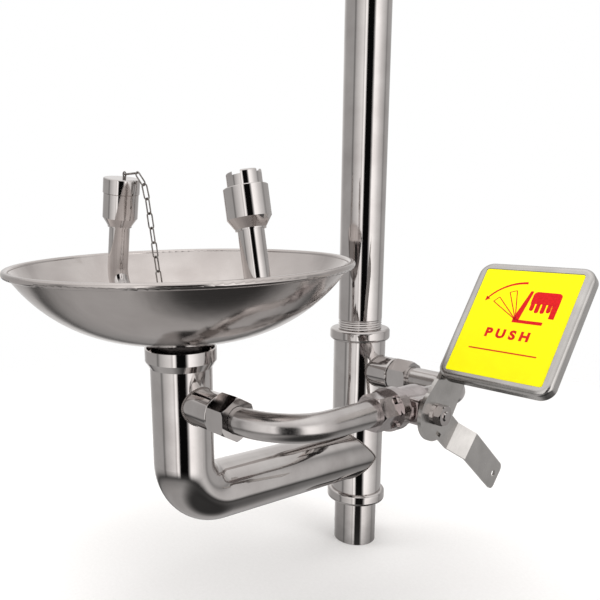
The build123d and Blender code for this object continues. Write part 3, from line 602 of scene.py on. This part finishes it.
WIRE_R = 0.65 * MM
WIRE_SIDES = 12
LINK_PITCH = 12.6 * MM
LINK_WIDTH = 6.0 * MM
LINK_HALF_WIDTH = LINK_WIDTH / 2 - WIRE_R
LINK_END_STEPS = 12
EYE_R = 2.1 * MM


def eye_centre(node):
    """The middle of the eye that a link hangs in, at the top of its node."""
    low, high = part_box(node)
    return Vector(((low.x + high.x) / 2, (low.y + high.y) / 2, high.z - EYE_R - WIRE_R))


# over the cap's edge, down through the air and along the bowl's floor
chain_top = eye_centre("cap_chain_eye")
chain_foot = eye_centre("chain_anchor")
chain_out = Vector((0.9, 0.43, 0)).normalized()
route = [
    chain_top,
    chain_top + chain_out * 13.5 * MM + Vector((0, 0, 0.6 * MM)),
    chain_top + chain_out * 20 * MM + Vector((0, 0, -11 * MM)),
    chain_foot + Vector((-25 * MM, -1 * MM, 5 * MM)),
    chain_foot,
]
runs = [(end - start).length for start, end in zip(route, route[1:])]
link_count = round(sum(runs) / LINK_PITCH)


def along_route(distance):
    """The point at a distance along the chain's route."""
    for start, end, length in zip(route, route[1:], runs):
        if distance <= length:
            return start.lerp(end, distance / length)
        distance -= length
    return route[-1]


def link_loop(start, end, turned):
    """The centre line of one link: two half circles and the straight sides between them."""
    ahead = (end - start).normalized()
    across = ahead.cross(Vector((0, 1, 0))).normalized()
    if turned:
        across = across.cross(ahead).normalized()
    straight = (end - start).length / 2 + WIRE_R - LINK_HALF_WIDTH
    loop = []
    for way in (1, -1):
        for step in range(LINK_END_STEPS + 1):
            angle = pi * (step / LINK_END_STEPS - 0.5) + (0 if way == 1 else pi)
            along = way * straight + LINK_HALF_WIDTH * cos(angle)
            loop.append((start + end) / 2 + ahead * along + across * LINK_HALF_WIDTH * sin(angle))
    return loop


# every other link is turned a quarter round, so that each hangs in the one above it
link_ends = [along_route(sum(runs) * k / link_count) for k in range(link_count + 1)]
chain_points, chain_faces = [], []
for k, (start, end) in enumerate(zip(link_ends, link_ends[1:])):
    rings = loop_tube(link_loop(start, end, k % 2 == 0), lambda _: WIRE_R, WIRE_SIDES)
    chain_faces += closed_faces(len(rings), WIRE_SIDES, len(chain_points))
    chain_points += [point for row in rings for point in row]
chain_mesh = bpy.data.meshes.new("cap_chain")
chain_mesh.from_pydata(chain_points, [], chain_faces)
chain_mesh.shade_smooth()
chain_mesh.materials.append(chain_steel)
chain = bpy.data.objects.new("cap_chain", chain_mesh)
bpy.context.scene.collection.objects.link(chain)
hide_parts("dust_cap_chain")
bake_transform(chain)

# ---- floor, light and camera ----
# A pale floor that fades out into a white backdrop, three soft lights, and round them a ring of light and
# dark panels. The panels show only in the steel, as the light and dark stripes along the tubes.
FLOOR_R = 1.1
FLOOR_SIDES = 96
FLOOR_FADE_FROM = 0.3
FLOOR_GAP = 0.2 * MM
FIBRE = 3 * MM
floor_mesh = bpy.data.meshes.new("studio_floor")
floor_mesh.from_pydata(ring(FLOOR_R, cad_box[0][2] - FLOOR_GAP, FLOOR_SIDES), [], [list(range(FLOOR_SIDES))])
floor = bpy.data.objects.new("studio_floor", floor_mesh)
bpy.context.scene.collection.objects.link(floor)
floor.visible_glossy = False
# background paper: matt and nearly white, with a trace of fibre
paper, tree, shader, place = material("pale_paper")
fibre = add(tree, "ShaderNodeTexNoise", {"Vector": place, "Scale": 1 / FIBRE, "Detail": 3})
pale = add(tree, "ShaderNodeValToRGB", {"Fac": fibre.outputs["Fac"]})
ramp(pale, [(0.3, srgb("#F4F3F2")), (0.7, srgb("#F8F7F6"))])
tree.links.new(pale.outputs["Color"], shader.inputs["Base Color"])
shader.inputs["Roughness"].default_value = 0.9
reach = add(tree, "ShaderNodeVectorMath", {0: place}, operation="LENGTH")
fade = add(tree, "ShaderNodeMapRange",
           {"Value": reach.outputs["Value"], "From Min": FLOOR_FADE_FROM, "From Max": FLOOR_R,
            "To Min": 1, "To Max": 0}, interpolation_type="SMOOTHERSTEP")
tree.links.new(fade.outputs["Result"], shader.inputs["Alpha"])
floor_mesh.materials.append(paper)

CAMERA_AT = Vector((415.71, -531.93, 360.65)) * MM
VIEW = Vector((-0.78072, 0.58856, -0.20995))
RIGHT = Vector((0.60660, 0.79449, -0.02849))
LENS_TO_SENSOR = 1.0944
SHIFT_X = 0.187
SHIFT_Y = 0.069
RUG = Vector((0.30, 0.38, -0.87)).normalized()
RUG_LEFT = 0.08
world = bpy.data.worlds.new("studio")
bpy.context.scene.world = world
world.use_nodes = True
tree = world.node_tree
background = tree.nodes["Background"]
direction = add(tree, "ShaderNodeTexCoord").outputs["Generated"]
turned_to_camera = add(tree, "ShaderNodeVectorRotate",
                       {"Vector": direction, "Angle": -atan2(-VIEW.y, -VIEW.x)}, rotation_type="Z_AXIS")
parts = add(tree, "ShaderNodeSeparateXYZ", {0: turned_to_camera.outputs["Vector"]})
azimuth = add(tree, "ShaderNodeMath", {0: parts.outputs["Y"], 1: parts.outputs["X"]}, operation="ARCTAN2")
turn = add(tree, "ShaderNodeMapRange", {"Value": azimuth.outputs[0], "From Min": -pi, "From Max": pi})


def grey(level):
    """A very slightly warm grey."""
    return (level, level * 0.985, level * 0.975, 1)


# how bright each panel is, by its angle from the camera's side, in degrees to the right
PANELS = (
    (-180, 0.95), (-150, 0.58), (-137, 0.48), (-84, 0.48),
    (-77, 0.22), (-68, 0.60), (-33, 1.10), (-27, 0.80), (-23, 1.60), (-18, 1.30),
    (-13, 0.004), (14, 0.004),
    (19, 0.40), (26, 1.60), (40, 1.45), (60, 0.95), (84, 0.62), (92, 0.34),
    (102, 0.50), (145, 0.52), (180, 0.95),
)
bands = add(tree, "ShaderNodeValToRGB", {"Fac": turn.outputs["Result"]})
ramp(bands, [(0.5 + angle / 360, grey(level)) for angle, level in PANELS])
height = add(tree, "ShaderNodeMapRange", {"Value": parts.outputs["Z"], "From Min": -1, "From Max": 1})
sky = add(tree, "ShaderNodeValToRGB", {"Fac": height.outputs["Result"]})
ramp(sky, [
    (height_share, grey(level))
    for height_share, level in ((0.0, 0.2), (0.5, 0.3), (0.68, 1.1), (0.8, 0.75), (0.9, 0.95), (1.0, 1.2))
])
overhead = add(tree, "ShaderNodeMapRange",
               {"Value": parts.outputs["Z"], "From Min": 0.36, "From Max": 0.62},
               interpolation_type="SMOOTHSTEP")
mixed = add(tree, "ShaderNodeMix", {"Factor": overhead.outputs["Result"]}, data_type="RGBA")
tree.links.new(bands.outputs["Color"], mixed.inputs["A"])
tree.links.new(sky.outputs["Color"], mixed.inputs["B"])
seen = add(tree, "ShaderNodeLightPath")
shown = add(tree, "ShaderNodeMix", {"Factor": seen.outputs["Is Camera Ray"]}, data_type="RGBA")
underfoot = add(tree, "ShaderNodeValToRGB", {"Fac": height.outputs["Result"]})
ramp(underfoot, [(0.0, grey(0.46)), (0.11, grey(0.48)), (0.19, grey(0.32)), (0.24, grey(0.06))])
# a dark rug in front of the stand, to the right
rug = add(tree, "ShaderNodeVectorMath", {0: turned_to_camera.outputs["Vector"], 1: RUG},
          operation="DOT_PRODUCT")
off_rug = add(tree, "ShaderNodeMapRange",
              {"Value": rug.outputs["Value"], "From Min": 0.96, "From Max": 0.72,
               "To Min": RUG_LEFT, "To Max": 1}, interpolation_type="SMOOTHSTEP")
floor_tone = add(tree, "ShaderNodeMix", {"Factor": off_rug.outputs["Result"]}, data_type="RGBA")
floor_tone.inputs["A"].default_value = grey(0.008)
tree.links.new(underfoot.outputs["Color"], floor_tone.inputs["B"])
below = add(tree, "ShaderNodeMapRange",
            {"Value": parts.outputs["Z"], "From Min": -0.40, "From Max": -0.55},
            interpolation_type="SMOOTHSTEP")
lowered = add(tree, "ShaderNodeMix", {"Factor": below.outputs["Result"]}, data_type="RGBA")
tree.links.new(mixed.outputs["Result"], lowered.inputs["A"])
tree.links.new(floor_tone.outputs["Result"], lowered.inputs["B"])
tree.links.new(lowered.outputs["Result"], shown.inputs["A"])
BACKDROP = (1, 1, 1, 1)
shown.inputs["B"].default_value = BACKDROP
tree.links.new(shown.outputs["Result"], background.inputs["Color"])

middle = (Vector(cad_box[0]) + Vector(cad_box[1])) / 2
for name, where, size, power in (
    ("overhead_softbox", (0.1, -0.5, 1.7), 1.0, 9),
    ("left_softbox", (-1.1, -1.2, 0.9), 0.7, 7),
    ("right_softbox", (1.5, 0.1, 0.9), 0.7, 7),
):
    light = bpy.data.lights.new(name, "AREA")
    light.shape = "SQUARE"
    light.size = size
    light.energy = power
    lamp = bpy.data.objects.new(name, light)
    lamp.location = where
    lamp.visible_glossy = False
    lamp.rotation_euler = (middle - Vector(where)).to_track_quat("-Z", "Y").to_euler()
    bpy.context.scene.collection.objects.link(lamp)

camera_data = bpy.data.cameras.new("camera")
camera_data.lens = LENS_TO_SENSOR * camera_data.sensor_width
camera_data.shift_x = SHIFT_X
camera_data.shift_y = SHIFT_Y
camera_data.clip_start = 0.01
camera = bpy.data.objects.new("camera", camera_data)
up = RIGHT.cross(VIEW)
camera.matrix_world = Matrix.Translation(CAMERA_AT) @ Matrix((
    (RIGHT.x, up.x, -VIEW.x, 0),
    (RIGHT.y, up.y, -VIEW.y, 0),
    (RIGHT.z, up.z, -VIEW.z, 0),
    (0, 0, 0, 1),
))
bpy.context.scene.collection.objects.link(camera)
bpy.context.scene.camera = camera
bpy.context.scene.view_settings.view_transform = "Standard"
